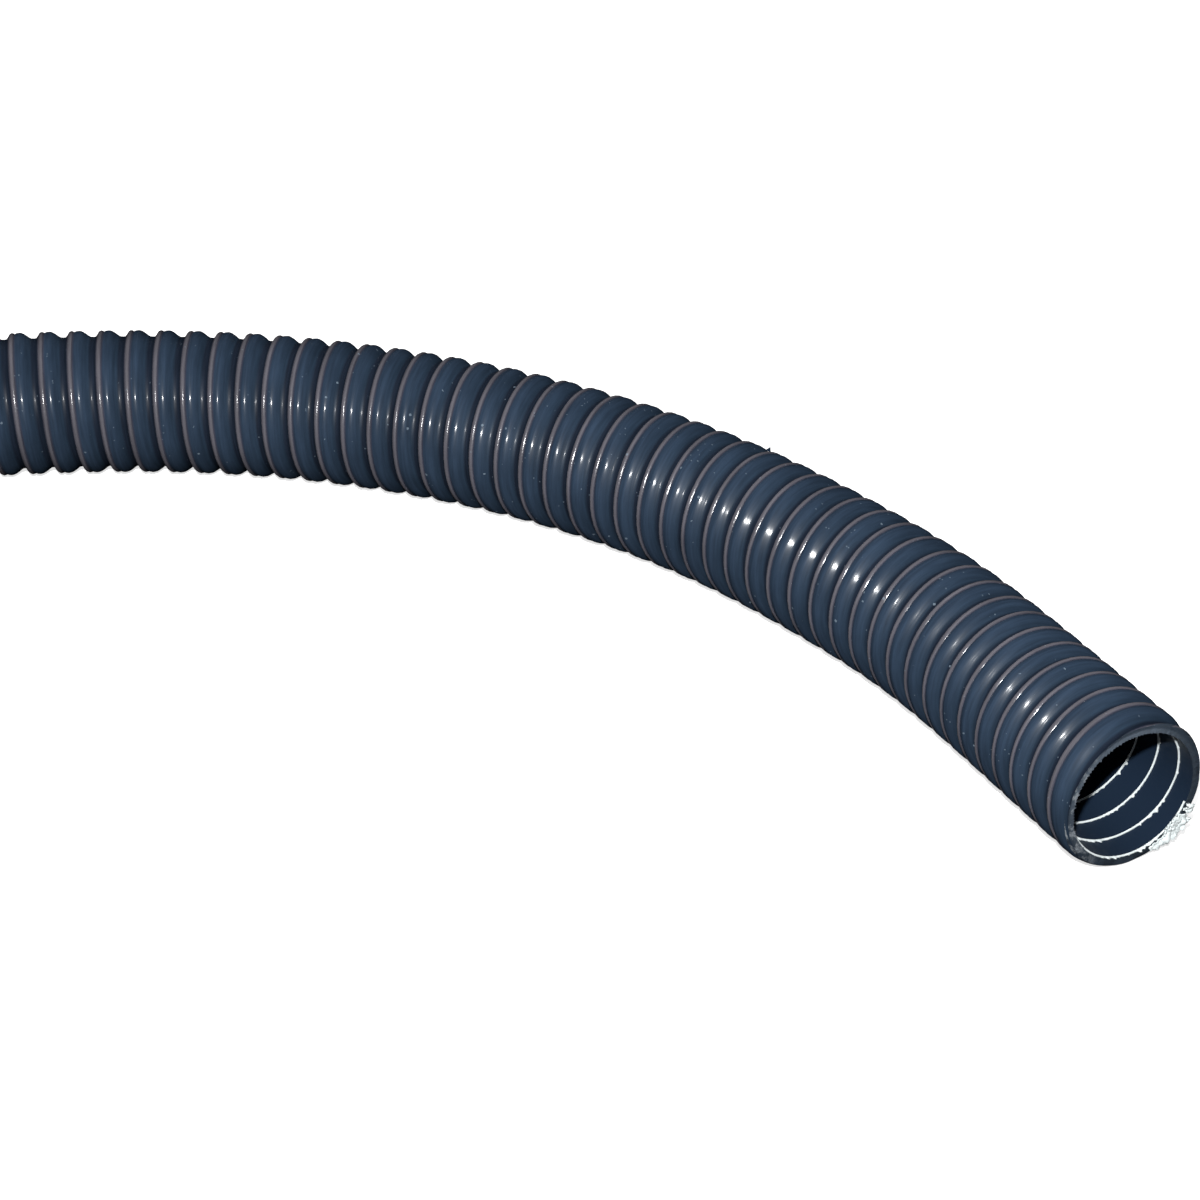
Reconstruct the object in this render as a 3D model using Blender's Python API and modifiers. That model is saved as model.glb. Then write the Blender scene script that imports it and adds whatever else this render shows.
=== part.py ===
"""Sewer hose kit for a caravan.

A 3 m spiral-reinforced PVC waste hose lies on the ground. Its sawn open end faces -Y. The spare length is
wound into a flat coil held by two ties, and the stored end has a swivel bayonet coupler with its dust cap.

Units are metres, +Z is up, and the ground is z = 0. The origin is under the middle of the whole object.
"""

import math

import bmesh
import bpy
import numpy as np
from mathutils import Matrix, Vector

# Hose
HOSE_RADIUS = 0.0225  # over the ribs
BORE_RADIUS = 0.019
RIB_PITCH = 0.00923
MOUTH_LENGTH = 0.060  # straight hollow stretch at the sawn end
TAIL_LENGTH = 0.040  # straight hollow stretch on the adapter's spigot
HELIX_WIRE_RADIUS = 0.0005
HELIX_TURNS = 5.5
HELIX_TOP = 0.0039  # depth behind the sawn end at which the spiral first passes the top of the bore
GAP = 0.0003  # between pieces that touch
END_SEGMENT = 0.002

# Ties: hook-and-loop straps round both turns of the coil
STRAP_THICKNESS = 0.0015
STRAP_WIDTH = 0.025
STRAP_LAP_LENGTH = 0.034
STRAP_SLACK = 0.0012  # between a strap and the hose in it
TIE_ANGLES = (math.radians(84), math.radians(138))

# Height of the hose's centreline in the coil, which lies on the ties
COIL_Z = HOSE_RADIUS + STRAP_SLACK + STRAP_THICKNESS

# Coupler, measured along its axis from the end of the hose
COUPLER_RADIUS = 0.0375
SPIGOT_LENGTH = 0.034
SPIGOT_RADIUS = 0.0175
BARB_RADIUS = BORE_RADIUS - 2 * GAP
BARB_PITCH = 0.009
COUPLER_BORE = 0.015
NECK_RADIUS = 0.0225
GROOVE_RADIUS = 0.0210
GROOVE_START = 0.0035
RETAINER_WIDTH = 0.0020
RETAINER_RADIUS = 0.0262
RETAINER_SPLIT = 0.005
RING_START = 0.0062
FLANGE_START = 0.0230
FLANGE_END = 0.0290
FLANGE_RADIUS = 0.0300
RING_END = 0.0480
HUB_RADIUS = 0.0330
ARM_INNER_RADIUS = 0.0312
ARM_OUTER_RADIUS = 0.0352
HOOK_RADIUS = 0.0284  # inner radius of the hooks' inward lips
HOOK_THICKNESS = 0.0040
HOOK_COUNT = 4
HOOK_ARC = math.radians(34)
HOOK_GAP_START = 0.0320
GRIP_COUNT = 8
GRIP_SIZE = (0.0055, 0.0060, 0.0140)
GASKET_INNER = 0.0200
GASKET_OUTER = 0.0260
GASKET_DEPTH = 0.0020
GASKET_PROUD = 0.0016

# Dust cap
CAP_DISC_RADIUS = 0.0262
CAP_DISC_THICKNESS = 0.0030
CAP_PLUG_LENGTH = 0.014
CAP_PLUG_RADIUS = 0.0142
CAP_GRIP_HEIGHT = 0.010
CAP_GRIP_LENGTH = 0.034
CAP_GRIP_THICKNESS = 0.006
SEAL_GROOVE_RADIUS = 0.0128
SEAL_WIDTH = 0.0022

# Worm-drive hose clip
CLIP_CENTRE = -0.020
BAND_WIDTH = 0.012
BAND_THICKNESS = 0.0008
HOUSING_LENGTH = 0.016
HOUSING_WIDTH = 0.0125
SCREW_RADIUS = 0.0032
SCREW_HOUSING_WALL = 0.0010
SCREW_HEAD_RADIUS = 0.0046
SCREW_HEAD_LENGTH = 0.0055
SCREW_SLOT_WIDTH = 0.0012

# The hose's route from the sawn end to the coil, as (x, y, z)
FRONT_ROUTE = (
    (0.413, -0.218, 0.0225), (0.413, -0.188, 0.0225), (0.413, -0.158, 0.0225), (0.411, -0.118, 0.0225),
    (0.4038, -0.0785, 0.0225), (0.393, -0.040, 0.0225), (0.3773, -0.0035, 0.0225), (0.3565, 0.031, 0.0225),
    (0.3313, 0.0616, 0.0225), (0.302, 0.0888, 0.0225), (0.269, 0.1115, 0.0225), (0.2335, 0.1297, 0.0225),
    (0.184, 0.150, 0.0225), (0.134, 0.168, 0.0225), (0.084, 0.186, 0.0226), (0.034, 0.204, 0.0230),
    (-0.016, 0.222, 0.0241),
)

# The coil: a flat spiral, counter-clockwise and inwards
COIL_CENTRE = (-0.158, -0.012)
COIL_START_RADIUS = 0.2690
COIL_START_ANGLE = math.radians(70)
COIL_SWEEP = math.radians(432)
COIL_PITCH = 0.0465  # from one turn to the next
COIL_POINTS_PER_TURN = 24

# From the coil's inner turn to the coupler, as (x, y, z)
TAIL_ROUTE = (
    (-0.348, 0.081, 0.0254), (-0.360, 0.038, 0.0262), (-0.362, -0.006, 0.0279), (-0.352, -0.049, 0.0304),
    (-0.332, -0.089, 0.0329), (-0.303, -0.122, 0.0352), (-0.267, -0.148, 0.0368), (-0.226, -0.164, 0.0375),
    (-0.182, -0.169, 0.0375), (-0.160, -0.169, 0.0375), (-0.138, -0.169, 0.0375),
)
HOSE_END = Vector(TAIL_ROUTE[-1])

PARTS = bpy.data.collections.new("sewer_hose_kit")
CUTTERS = bpy.data.collections.new("cutters")


# ---------------------------------------------------------------- scene, materials and small helpers


def clear_scene():
    for obj in list(bpy.data.objects):
        bpy.data.objects.remove(obj, do_unlink=True)
    bpy.context.scene.collection.children.link(PARTS)
    bpy.context.scene.collection.children.link(CUTTERS)


def make_material(name, colour, roughness, metallic=0.0):
    material = bpy.data.materials.new(name)
    material.use_nodes = True
    shader = material.node_tree.nodes["Principled BSDF"]
    shader.inputs["Base Color"].default_value = (*colour, 1.0)
    shader.inputs["Roughness"].default_value = roughness
    shader.inputs["Metallic"].default_value = metallic
    return material


def add_object(name, data, material):
    obj = bpy.data.objects.new(name, data)
    data.materials.append(material)
    PARTS.objects.link(obj)
    return obj


def make_cutter(obj):
    """Moves an object to the cutters' collection, where it is neither drawn solid nor rendered."""
    PARTS.objects.unlink(obj)
    CUTTERS.objects.link(obj)
    obj.hide_render = True
    obj.display_type = "WIRE"
    return obj


def combine(obj, other, operation):
    modifier = obj.modifiers.new(f"{operation.lower()}_{other.name}", "BOOLEAN")
    modifier.operation = operation
    modifier.solver = "EXACT"
    modifier.object = make_cutter(other)


def shade_round(obj):
    obj.data.shade_smooth()
    obj.data.set_sharp_from_angle(angle=math.radians(35))


# ---------------------------------------------------------------- the hose's route


def smooth_curve(points, spacing=0.002):
    """Evenly spaced points on the natural cubic spline through the given points."""
    points = np.array(points)
    knots = np.concatenate([[0.0], np.cumsum(np.linalg.norm(np.diff(points, axis=0), axis=1))])
    steps = np.diff(knots)
    slopes = np.diff(points, axis=0) / steps[:, None]
    system = np.eye(len(points))
    bends = np.zeros_like(points)
    for i in range(1, len(points) - 1):
        system[i, i - 1 : i + 2] = steps[i - 1], 2 * (steps[i - 1] + steps[i]), steps[i]
        bends[i] = 6 * (slopes[i] - slopes[i - 1])
    bends = np.linalg.solve(system, bends)
    at = np.linspace(0.0, knots[-1], int(knots[-1] / spacing) + 1)
    i = np.clip(np.searchsorted(knots, at, side="right") - 1, 0, len(steps) - 1)
    along = (at - knots[i])[:, None]
    rise = slopes[i] - steps[i, None] * (2 * bends[i] + bends[i + 1]) / 6
    curl = (bends[i + 1] - bends[i]) / (6 * steps[i, None])
    return points[i] + along * (rise + along * (bends[i] / 2 + along * curl))


def coil_points():
    count = round(COIL_POINTS_PER_TURN * COIL_SWEEP / math.tau)
    points = []
    for i in range(count + 1):
        swept = COIL_SWEEP * i / count
        radius = COIL_START_RADIUS - COIL_PITCH * swept / math.tau
        angle = COIL_START_ANGLE + swept
        points.append((
            COIL_CENTRE[0] + radius * math.cos(angle),
            COIL_CENTRE[1] + radius * math.sin(angle),
            COIL_Z,
        ))
    return points


def hose_centreline():
    """The whole centreline, as points and the length along the hose at each."""
    points = smooth_curve(list(FRONT_ROUTE) + coil_points() + list(TAIL_ROUTE))
    along = np.concatenate([[0.0], np.cumsum(np.linalg.norm(np.diff(points, axis=0), axis=1))])
    return points, along


CENTRELINE, ALONG = hose_centreline()


def place_at(distance):
    return Vector([np.interp(distance, ALONG, CENTRELINE[:, axis]) for axis in range(3)])


def coil_ends():
    """The distances along the hose at which the coil begins and ends."""
    points = coil_points()
    nearest = [np.argmin(np.linalg.norm(CENTRELINE - end, axis=1)) for end in (points[0], points[-1])]
    return [float(ALONG[i]) for i in nearest]


def turns_at(angle):
    """The radii from the coil's centre at which the hose crosses a ray at this angle, smallest first."""
    offset = CENTRELINE[:, :2] - np.array(COIL_CENTRE)
    across = offset @ np.array([-math.sin(angle), math.cos(angle)])
    outward = offset @ np.array([math.cos(angle), math.sin(angle)])
    crossing = np.nonzero((across[:-1] < 0) & (across[1:] >= 0) & (outward[:-1] > 0))[0]
    return sorted(float(outward[i]) for i in crossing)


# ---------------------------------------------------------------- shapes


def tube(name, start, end, material, spacing=0.046):
    """A plain solid stretch of hose between two distances along it. Short end segments square its ends."""
    curve = bpy.data.curves.new(name, "CURVE")
    curve.dimensions = "3D"
    curve.bevel_depth = HOSE_RADIUS
    curve.bevel_resolution = 4
    curve.use_fill_caps = True
    count = round((end - start) / spacing)
    between = [start + (end - start) * i / count for i in range(1, count)]
    distances = [start, start + END_SEGMENT, *between, end - END_SEGMENT, end]
    spline = curve.splines.new("POLY")
    spline.points.add(len(distances) - 1)
    for point, distance in zip(spline.points, distances):
        point.co = (*place_at(distance), 1.0)
    return add_object(name, curve, material)


def turned(name, profile, material, closed=True, steps=48):
    """A turned solid about its local Z. The profile's (radius, height) points run down its outer side."""
    mesh = bpy.data.meshes.new(name)
    edges = [(i, i + 1) for i in range(len(profile) - 1)]
    if closed:
        edges.append((len(profile) - 1, 0))
    mesh.from_pydata([(radius, 0.0, height) for radius, height in profile], edges, [])
    obj = add_object(name, mesh, material)
    screw = obj.modifiers.new("turn", "SCREW")
    screw.axis = "Z"
    screw.angle = math.tau
    screw.steps = steps
    screw.render_steps = steps
    screw.use_merge_vertices = True
    screw.merge_threshold = 0.00001
    return obj


def ring_profile(inner, outer, bottom, top):
    return [(outer, top), (outer, bottom), (inner, bottom), (inner, top)]


def placed_mesh(name, shape, offset, turn, material):
    """The shape moved by an offset and then turned about its local Z, as an object."""
    bmesh.ops.translate(shape, vec=offset, verts=shape.verts)
    bmesh.ops.rotate(shape, cent=(0, 0, 0), matrix=Matrix.Rotation(turn, 3, "Z"), verts=shape.verts)
    mesh = bpy.data.meshes.new(name)
    shape.to_mesh(mesh)
    shape.free()
    return add_object(name, mesh, material)


def block(name, size, material, offset=(0, 0, 0), turn=0.0, bevel=0.0):
    """A box, with rounded edges where it has a bevel."""
    shape = bmesh.new()
    bmesh.ops.create_cube(shape, size=1.0)
    bmesh.ops.scale(shape, vec=size, verts=shape.verts)
    if bevel:
        bmesh.ops.bevel(shape, geom=shape.edges, offset=bevel, segments=2, profile=0.5, affect="EDGES")
    return placed_mesh(name, shape, offset, turn, material)


def rod(name, radius, start, end, material, sides=32, off_axis=0.0, turn=0.0):
    """A cylinder along its local Z."""
    shape = bmesh.new()
    bmesh.ops.create_cone(
        shape, cap_ends=True, segments=sides, radius1=radius, radius2=radius, depth=end - start
    )
    return placed_mesh(name, shape, (off_axis, 0, (start + end) / 2), turn, material)


def on_coupler_axis(obj):
    """Local Z becomes the coupler's axis, +X, with the end of the hose at local zero."""
    obj.location = HOSE_END
    obj.rotation_euler = (0.0, math.pi / 2, 0.0)
    return obj


# ---------------------------------------------------------------- the hose


def make_hose(pvc, rigid_pvc):
    tail_start = float(ALONG[-1]) - TAIL_LENGTH
    start_of_coil, end_of_coil = coil_ends()

    mouth_profile = ring_profile(BORE_RADIUS, HOSE_RADIUS, 0.0, MOUTH_LENGTH)
    mouth = turned("hose_mouth", mouth_profile, pvc, steps=32)
    mouth.location = place_at(0.0)
    mouth.rotation_euler = (-math.pi / 2, 0.0, 0.0)

    tube("hose_run", MOUTH_LENGTH + GAP, start_of_coil - GAP, pvc)
    tube("hose_coil", start_of_coil, end_of_coil - GAP, pvc, spacing=0.024)
    tube("hose_lead", end_of_coil, tail_start - GAP, pvc, spacing=0.024)

    tail_profile = ring_profile(BORE_RADIUS, HOSE_RADIUS, -TAIL_LENGTH, 0.0)
    tail = turned("hose_tail", tail_profile, pvc, steps=32)
    on_coupler_axis(tail)

    make_reinforcing_helix(rigid_pvc)


def make_reinforcing_helix(material):
    """The edge of the rigid right-handed spiral, standing a little proud of the bore behind the sawn end."""
    curve = bpy.data.curves.new("reinforcing_helix", "CURVE")
    curve.dimensions = "3D"
    curve.bevel_depth = HELIX_WIRE_RADIUS
    curve.bevel_resolution = 1
    curve.use_fill_caps = True
    radius = BORE_RADIUS - HELIX_WIRE_RADIUS - GAP
    per_turn = 20
    count = round(HELIX_TURNS * per_turn)
    spline = curve.splines.new("POLY")
    spline.points.add(count)
    centre = place_at(0.0)
    for i, point in enumerate(spline.points):
        depth = HELIX_WIRE_RADIUS + RIB_PITCH * i / per_turn
        angle = math.tau * (depth - HELIX_TOP) / RIB_PITCH  # clockwise from the top, looking in
        point.co = (
            centre.x + radius * math.sin(angle),
            centre.y + depth,
            centre.z + radius * math.cos(angle),
            1.0,
        )
    add_object("reinforcing_helix", curve, material)


def half_circle(centre_x, radius, start_angle, steps=12):
    """Points round half a circle, counter-clockwise."""
    angles = [start_angle + math.pi * i / steps for i in range(steps + 1)]
    return [(centre_x + radius * math.cos(angle), radius * math.sin(angle)) for angle in angles]


def strap_outline(half_spacing, clearance, lap):
    """A stadium round two turns of hose side by side, with a raised lap on the top where the ends overlap."""
    radius = HOSE_RADIUS + clearance
    half = STRAP_LAP_LENGTH / 2
    raised = [(half, radius), (half - lap, radius + lap), (lap - half, radius + lap), (-half, radius)]
    right = half_circle(half_spacing, radius, -math.pi / 2)
    left = half_circle(-half_spacing, radius, math.pi / 2)
    return right + (raised if lap else []) + left


def make_tie(name, angle, material):
    inner_turn, outer_turn = turns_at(angle)[-2:]
    half_spacing = (outer_turn - inner_turn) / 2
    curve = bpy.data.curves.new(name, "CURVE")
    curve.dimensions = "2D"
    curve.fill_mode = "BOTH"
    curve.extrude = STRAP_WIDTH / 2
    outlines = (
        strap_outline(half_spacing, STRAP_SLACK + STRAP_THICKNESS, STRAP_THICKNESS),
        strap_outline(half_spacing, STRAP_SLACK, 0.0),
    )
    for outline in outlines:
        spline = curve.splines.new("POLY")
        spline.points.add(len(outline) - 1)
        spline.use_cyclic_u = True
        for point, (x, y) in zip(spline.points, outline):
            point.co = (x, y, 0.0, 1.0)
    tie = add_object(name, curve, material)
    middle = (inner_turn + outer_turn) / 2
    tie.location = (
        COIL_CENTRE[0] + middle * math.cos(angle),
        COIL_CENTRE[1] + middle * math.sin(angle),
        COIL_Z,
    )
    tie.rotation_euler = (math.pi / 2, 0.0, angle)


# ---------------------------------------------------------------- the coupler


def make_adapter(material):
    """The barbed spigot, the neck with the retaining ring's groove, and the flange with the gasket's."""
    barb_start = -SPIGOT_LENGTH
    spigot = []
    for i in range(3):
        base = barb_start + i * BARB_PITCH
        spigot += [(SPIGOT_RADIUS, base), (BARB_RADIUS, base + 0.0055), (SPIGOT_RADIUS, base + 0.006)]
    groove_end = GROOVE_START + RETAINER_WIDTH + 2 * GAP
    outer_going_up = spigot + [
        (SPIGOT_RADIUS, GAP),
        (NECK_RADIUS, GAP),
        (NECK_RADIUS, GROOVE_START),
        (GROOVE_RADIUS, GROOVE_START),
        (GROOVE_RADIUS, groove_end),
        (NECK_RADIUS, groove_end),
        (NECK_RADIUS, FLANGE_START),
        (FLANGE_RADIUS, FLANGE_START),
        (FLANGE_RADIUS, FLANGE_END),
    ]
    face_going_in = [
        (GASKET_OUTER + GAP, FLANGE_END),
        (GASKET_OUTER + GAP, FLANGE_END - GASKET_DEPTH),
        (GASKET_INNER - GAP, FLANGE_END - GASKET_DEPTH),
        (GASKET_INNER - GAP, FLANGE_END),
        (COUPLER_BORE, FLANGE_END),
        (COUPLER_BORE, -SPIGOT_LENGTH),
    ]
    profile = list(reversed(outer_going_up)) + list(reversed(face_going_in))
    return on_coupler_axis(turned("hose_adapter", profile, material))


def make_retaining_ring(material):
    """A split ring in the neck's groove."""
    start = GROOVE_START + GAP
    profile = ring_profile(GROOVE_RADIUS + GAP, RETAINER_RADIUS, start, start + RETAINER_WIDTH)
    ring = turned("retaining_ring", profile, material)
    on_coupler_axis(ring)
    split_middle = ((GROOVE_RADIUS + RETAINER_RADIUS) / 2, 0.0, start + RETAINER_WIDTH / 2)
    split_size = (0.012, RETAINER_SPLIT, 0.010)
    split = block("retaining_split", split_size, material, offset=split_middle, turn=math.pi)
    combine(ring, on_coupler_axis(split), "DIFFERENCE")


def make_swivel_ring(material):
    """The bayonet ring: a hub that turns on the neck, and hooked arms that reach past the flange."""
    skirt_start = FLANGE_END - 0.0065
    hook_start = RING_END - HOOK_THICKNESS
    profile = [
        (ARM_OUTER_RADIUS, RING_END),
        (ARM_OUTER_RADIUS, RING_START + 0.004),
        (HUB_RADIUS, RING_START),
        (NECK_RADIUS + GAP, RING_START),
        (NECK_RADIUS + GAP, skirt_start),
        (ARM_INNER_RADIUS, skirt_start),
        (ARM_INNER_RADIUS, hook_start),
        (HOOK_RADIUS, hook_start),
        (HOOK_RADIUS, RING_END),
    ]
    ring = on_coupler_axis(turned("swivel_ring", profile, material))
    gap_radius = ARM_OUTER_RADIUS * (math.tau / HOOK_COUNT - HOOK_ARC) / 2
    for i in range(HOOK_COUNT):
        turn = math.tau * (i + 0.5) / HOOK_COUNT
        gap = rod(
            f"hook_gap_{i + 1}", gap_radius, HOOK_GAP_START, RING_END + 0.01, material,
            off_axis=ARM_OUTER_RADIUS, turn=turn,
        )
        combine(ring, on_coupler_axis(gap), "DIFFERENCE")
    grip_middle = (COUPLER_RADIUS - GRIP_SIZE[0] / 2, 0.0, RING_START + 0.005 + GRIP_SIZE[2] / 2)
    for i in range(GRIP_COUNT):
        turn = math.tau * i / GRIP_COUNT
        grip = block(f"grip_{i + 1}", GRIP_SIZE, material, offset=grip_middle, turn=turn, bevel=0.001)
        combine(ring, on_coupler_axis(grip), "UNION")


def make_gasket(material):
    bottom = FLANGE_END - GASKET_DEPTH + GAP
    top = FLANGE_END + GASKET_PROUD
    edge = 0.0005
    profile = [
        (GASKET_OUTER - edge, top),
        (GASKET_OUTER, top - edge),
        (GASKET_OUTER, bottom),
        (GASKET_INNER, bottom),
        (GASKET_INNER, top - edge),
        (GASKET_INNER + edge, top),
    ]
    return on_coupler_axis(turned("face_gasket", profile, material))


def make_dust_cap(material, rubber):
    """A disc on the gasket, a plug in the bore with a seal in its groove, and a bar to pull it by."""
    disc_bottom = FLANGE_END + GASKET_PROUD + GAP
    disc_top = disc_bottom + CAP_DISC_THICKNESS
    plug_end = disc_bottom - CAP_PLUG_LENGTH
    seal_middle = plug_end + 0.005
    low, high = seal_middle - SEAL_WIDTH / 2 - GAP, seal_middle + SEAL_WIDTH / 2 + GAP
    profile = [
        (0.0, disc_top),
        (CAP_DISC_RADIUS - 0.001, disc_top),
        (CAP_DISC_RADIUS, disc_top - 0.001),
        (CAP_DISC_RADIUS, disc_bottom),
        (CAP_PLUG_RADIUS, disc_bottom),
        (CAP_PLUG_RADIUS, high),
        (SEAL_GROOVE_RADIUS, high),
        (SEAL_GROOVE_RADIUS, low),
        (CAP_PLUG_RADIUS, low),
        (CAP_PLUG_RADIUS, plug_end + 0.001),
        (CAP_PLUG_RADIUS - 0.001, plug_end),
        (0.0, plug_end),
    ]
    cap = on_coupler_axis(turned("dust_cap", profile, material, closed=False))
    bar_size = (CAP_GRIP_LENGTH, CAP_GRIP_THICKNESS, CAP_GRIP_HEIGHT + 0.001)
    bar_middle = (0.0, 0.0, disc_top - 0.001 + bar_size[2] / 2)
    bar = block("cap_grip", bar_size, material, offset=bar_middle, bevel=0.0015)
    combine(cap, on_coupler_axis(bar), "UNION")

    seal_inner, seal_outer = SEAL_GROOVE_RADIUS + GAP, COUPLER_BORE - GAP
    seal_low, seal_high = seal_middle - SEAL_WIDTH / 2, seal_middle + SEAL_WIDTH / 2
    seal_profile = ring_profile(seal_inner, seal_outer, seal_low, seal_high)
    seal = on_coupler_axis(turned("cap_seal", seal_profile, rubber))
    return cap, seal


# ---------------------------------------------------------------- the hose clip


def make_clip(steel):
    """The band round the tail, and on top of it the housing with its screw across the hose."""
    inner = HOSE_RADIUS + GAP
    outer = inner + BAND_THICKNESS
    low, high = CLIP_CENTRE - BAND_WIDTH / 2, CLIP_CENTRE + BAND_WIDTH / 2
    on_coupler_axis(turned("clip_band", ring_profile(inner, outer, low, high), steel))

    tunnel_radius = SCREW_RADIUS + GAP
    height = 2 * (tunnel_radius + SCREW_HOUSING_WALL)
    screw_centre = HOSE_END + Vector((CLIP_CENTRE, 0.0, outer + GAP + height / 2))
    housing = block("clip_housing", (HOUSING_WIDTH, HOUSING_LENGTH, height), steel, bevel=0.0008)
    housing.location = screw_centre
    tunnel = rod("screw_tunnel", tunnel_radius, -HOUSING_LENGTH, HOUSING_LENGTH, steel, sides=24)
    tunnel.location = screw_centre
    tunnel.rotation_euler = (-math.pi / 2, 0.0, 0.0)
    combine(housing, tunnel, "DIFFERENCE")

    head_start = HOUSING_LENGTH / 2 + GAP
    head_end = head_start + SCREW_HEAD_LENGTH
    screw_profile = [
        (0.0, head_start + 0.001),
        (SCREW_RADIUS, head_start + 0.001),
        (SCREW_RADIUS, -HOUSING_LENGTH / 2),
        (SCREW_RADIUS - 0.001, -HOUSING_LENGTH / 2 - 0.001),
        (0.0, -HOUSING_LENGTH / 2 - 0.001),
    ]
    screw = turned("clip_screw", screw_profile, steel, closed=False, steps=24)
    head = rod("screw_head", SCREW_HEAD_RADIUS, head_start, head_end, steel, sides=6)
    slot = block("screw_slot", (0.012, SCREW_SLOT_WIDTH, 0.003), steel, offset=(0.0, 0.0, head_end))
    for piece in (screw, head, slot):
        piece.location = screw_centre
        piece.rotation_euler = (-math.pi / 2, 0.0, 0.0)
    combine(screw, head, "UNION")
    combine(screw, slot, "DIFFERENCE")


def main():
    clear_scene()
    pvc = make_material("hose_pvc", (0.035, 0.047, 0.066), 0.30)
    rigid_pvc = make_material("rigid_spiral", (0.80, 0.80, 0.78), 0.45)
    black = make_material("coupler_black", (0.020, 0.020, 0.022), 0.45)
    grey = make_material("ring_grey", (0.16, 0.17, 0.18), 0.45)
    rubber = make_material("seal_rubber", (0.015, 0.015, 0.015), 0.75)
    steel = make_material("clip_steel", (0.55, 0.56, 0.57), 0.30, metallic=1.0)
    webbing = make_material("tie_webbing", (0.012, 0.012, 0.013), 0.90)

    make_hose(pvc, rigid_pvc)
    for number, angle in enumerate(TIE_ANGLES, start=1):
        make_tie(f"coil_tie_{number}", angle, webbing)
    make_adapter(black)
    make_retaining_ring(steel)
    make_swivel_ring(grey)
    make_gasket(rubber)
    make_dust_cap(black, rubber)
    make_clip(steel)
    for obj in PARTS.objects:
        if obj.type == "MESH":
            shade_round(obj)


main()
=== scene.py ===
"""Looks of the sewer hose kit: a ribbed waste hose with a sawn end, its coil, ties, coupler, cap and clip."""

import math
from itertools import product

import bmesh
import bpy
import numpy as np
from mathutils import Matrix, Vector, noise


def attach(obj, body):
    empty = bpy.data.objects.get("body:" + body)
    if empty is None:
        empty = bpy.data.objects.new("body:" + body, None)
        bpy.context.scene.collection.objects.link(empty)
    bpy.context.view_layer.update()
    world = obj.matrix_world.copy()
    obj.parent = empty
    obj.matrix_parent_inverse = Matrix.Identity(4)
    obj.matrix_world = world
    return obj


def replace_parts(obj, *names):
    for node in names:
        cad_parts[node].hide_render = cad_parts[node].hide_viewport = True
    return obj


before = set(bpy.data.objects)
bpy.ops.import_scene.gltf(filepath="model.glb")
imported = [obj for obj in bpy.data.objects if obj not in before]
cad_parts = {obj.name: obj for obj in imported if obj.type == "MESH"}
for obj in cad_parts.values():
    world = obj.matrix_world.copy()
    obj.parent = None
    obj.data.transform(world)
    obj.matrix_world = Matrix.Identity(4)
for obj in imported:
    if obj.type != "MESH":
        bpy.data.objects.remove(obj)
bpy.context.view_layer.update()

# ---------------------------------------------------------------- the hose's sizes, in metres, and its route

HOSE_DIAMETER = 0.045  # over the ribs
HOSE_RADIUS = HOSE_DIAMETER / 2
BORE_RADIUS = 0.019

RIB_PITCH = 0.00923
RIB_TOP = 0.53  # where a rib's top is taken to stand in the pitch, which begins in a groove
FIRST_TOP = 0.00651  # depth behind the sawn end at which a rib's top first passes the top of the hose
FIRST_GROOVE = FIRST_TOP - RIB_TOP * RIB_PITCH
# The ribs' lines in a share of the pitch, with the depth of each below the hose's outside, in mm.
# The rib's rounded top is at 0.48, and its bead at 0.745.
RIB_PROFILE = (
    (0.00, 2.00), (0.10, 1.94), (0.18, 1.52), (0.26, 0.92), (0.34, 0.44), (0.41, 0.11), (0.48, 0.00),
    (0.57, 0.09), (0.65, 0.40), (0.69, 0.11), (0.745, 0.0), (0.80, 0.28), (0.86, 1.18), (0.92, 1.92),
)
# How many pitches the ribs have crept towards the sawn end, at distances along the hose
RIB_CREEP = (
    (-0.01, 0.04), (0.0, 0.0), (0.009, -0.13), (0.02, -0.06), (0.045, 0.18), (0.07, 0.29), (0.12, 0.18),
    (0.18, 0.15), (0.28, 0.0),
)

# The route repeats the frame's own: from the sawn end to the coil, the coil, and on to the coupler
FRONT_ROUTE = (
    (0.413, -0.218, 0.0225), (0.413, -0.188, 0.0225), (0.413, -0.158, 0.0225), (0.411, -0.118, 0.0225),
    (0.4038, -0.0785, 0.0225), (0.393, -0.040, 0.0225), (0.3773, -0.0035, 0.0225), (0.3565, 0.031, 0.0225),
    (0.3313, 0.0616, 0.0225), (0.302, 0.0888, 0.0225), (0.269, 0.1115, 0.0225), (0.2335, 0.1297, 0.0225),
    (0.184, 0.150, 0.0225), (0.134, 0.168, 0.0225), (0.084, 0.186, 0.0226), (0.034, 0.204, 0.0230),
    (-0.016, 0.222, 0.0241),
)
SAWN_END = FRONT_ROUTE[0]
STRAP_THICKNESS = 0.0015
STRAP_SLACK = 0.0012  # between a strap and the hose in it
COIL_Z = HOSE_RADIUS + STRAP_SLACK + STRAP_THICKNESS
COIL_CENTRE = (-0.158, -0.012)
COIL_START_RADIUS = 0.2690
COIL_START_ANGLE = math.radians(70)
COIL_SWEEP = math.radians(432)
COIL_PITCH = 0.0465  # from one turn to the next
COIL_POINTS_PER_TURN = 24
TAIL_ROUTE = (
    (-0.348, 0.081, 0.0254), (-0.360, 0.038, 0.0262), (-0.362, -0.006, 0.0279), (-0.352, -0.049, 0.0304),
    (-0.332, -0.089, 0.0329), (-0.303, -0.122, 0.0352), (-0.267, -0.148, 0.0368), (-0.226, -0.164, 0.0375),
    (-0.182, -0.169, 0.0375), (-0.160, -0.169, 0.0375), (-0.138, -0.169, 0.0375),
)
ROUTE_SPACING = 0.002


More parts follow.
